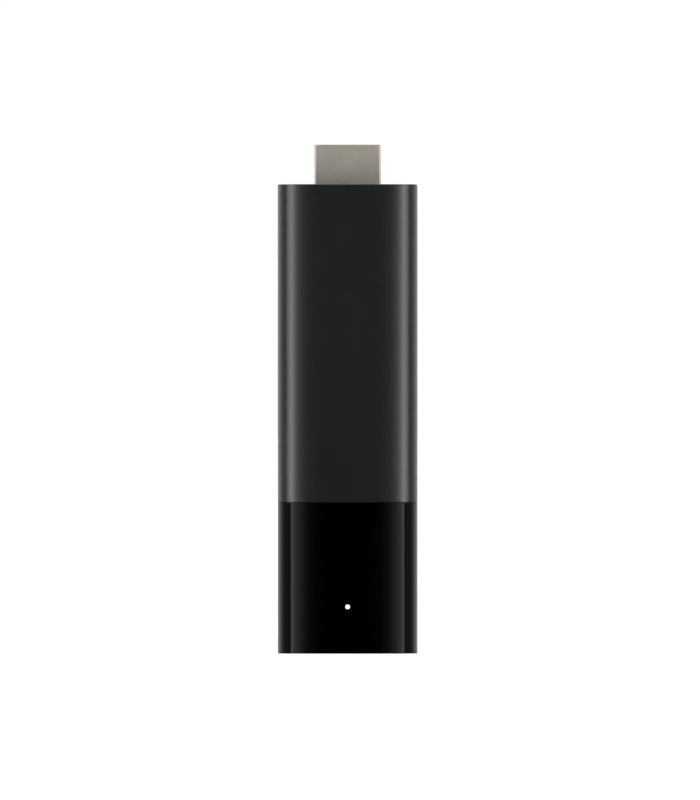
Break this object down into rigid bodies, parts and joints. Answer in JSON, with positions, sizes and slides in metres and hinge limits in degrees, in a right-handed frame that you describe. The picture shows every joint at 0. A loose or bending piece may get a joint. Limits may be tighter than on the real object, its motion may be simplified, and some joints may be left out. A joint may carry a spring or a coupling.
{
  "type": "streaming media player",
  "caption": "Slim upright stick with a matte sleeve, a glossy tail with a status light and a power socket, and a plug for a screen's video port.",
  "frame": {"origin": "centre of the flat end face of the tail, which the stick stands on", "axes": "+Z along the stick from the tail to the tip of the plug; -Y out of the front, the side with the status light; +X to the right seen from the front"},
  "size_m": [0.0294, 0.0154, 0.1068],
  "materials": {
    "matte_shell": "fine satin texture, near black",
    "gloss_shell": "polished black",
    "plug_steel": "nickel-plated, satin",
    "contact_gold": "gold-plated",
    "insulator_plastic": "moulded, black",
    "carrier_plastic": "moulded, dark grey",
    "light_pipe_clear": "clear, frosted, lit white",
    "gasket_foam": "metal-cloth-wrapped foam",
    "board_mask": "green solder mask",
    "module_can": "tinned",
    "chip_epoxy": "moulded epoxy",
    "shield_tin": "tinned",
    "coil_ferrite": "pressed ferrite",
    "capacitor_ceramic": "fired, tan",
    "led_body": "moulded, cream",
    "thermal_pad": "soft silicone",
    "spreader_aluminium": "extruded",
    "screw_steel": "black zinc"
  },
  "bodies": {
    "root": {"antenna_left": "shield_tin", "antenna_right": "shield_tin", "back_heat_spreader": "spreader_aluminium", "back_shield_can": "shield_tin", "back_thermal_pad": "thermal_pad", "board_carrier": "carrier_plastic", "board_screw_1": "screw_steel", "board_screw_2": "screw_steel", "board_screw_3": "screw_steel", "board_screw_4": "screw_steel", "bulk_capacitor_1": "capacitor_ceramic", "bulk_capacitor_2": "capacitor_ceramic", "crystal_can": "shield_tin", "front_heat_spreader": "spreader_aluminium", "front_shield_fence": "shield_tin", "front_shield_lid": "shield_tin", "hdmi_contact_01": "contact_gold", "hdmi_contact_02": "contact_gold", "hdmi_contact_03": "contact_gold", "hdmi_contact_04": "contact_gold", "hdmi_contact_05": "contact_gold", "hdmi_contact_06": "contact_gold", "hdmi_contact_07": "contact_gold", "hdmi_contact_08": "contact_gold", "hdmi_contact_09": "contact_gold", "hdmi_contact_10": "contact_gold", "hdmi_contact_11": "contact_gold", "hdmi_contact_12": "contact_gold", "hdmi_contact_13": "contact_gold", "hdmi_contact_14": "contact_gold", "hdmi_contact_15": "contact_gold", "hdmi_contact_16": "contact_gold", "hdmi_contact_17": "contact_gold", "hdmi_contact_18": "contact_gold", "hdmi_contact_19": "contact_gold", "hdmi_insulator": "insulator_plastic", "hdmi_shell": "plug_steel", "lid_thermal_pad": "thermal_pad", "light_pipe": "light_pipe_clear", "main_board": "board_mask", "main_sleeve": "matte_shell", "memory_chip": "chip_epoxy", "plug_end_plate": "matte_shell", "plug_gasket": "gasket_foam", "power_chip": "chip_epoxy", "power_inductor_1": "coil_ferrite", "power_inductor_2": "coil_ferrite", "soc_chip": "chip_epoxy", "soc_thermal_pad": "thermal_pad", "status_led": "led_body", "storage_chip": "chip_epoxy", "tail_cap": "gloss_shell", "usb_contact_1": "contact_gold", "usb_contact_2": "contact_gold", "usb_contact_3": "contact_gold", "usb_contact_4": "contact_gold", "usb_contact_5": "contact_gold", "usb_insulator": "insulator_plastic", "usb_shell": "plug_steel", "wifi_module": "module_can"}
  },
  "joints": []
}
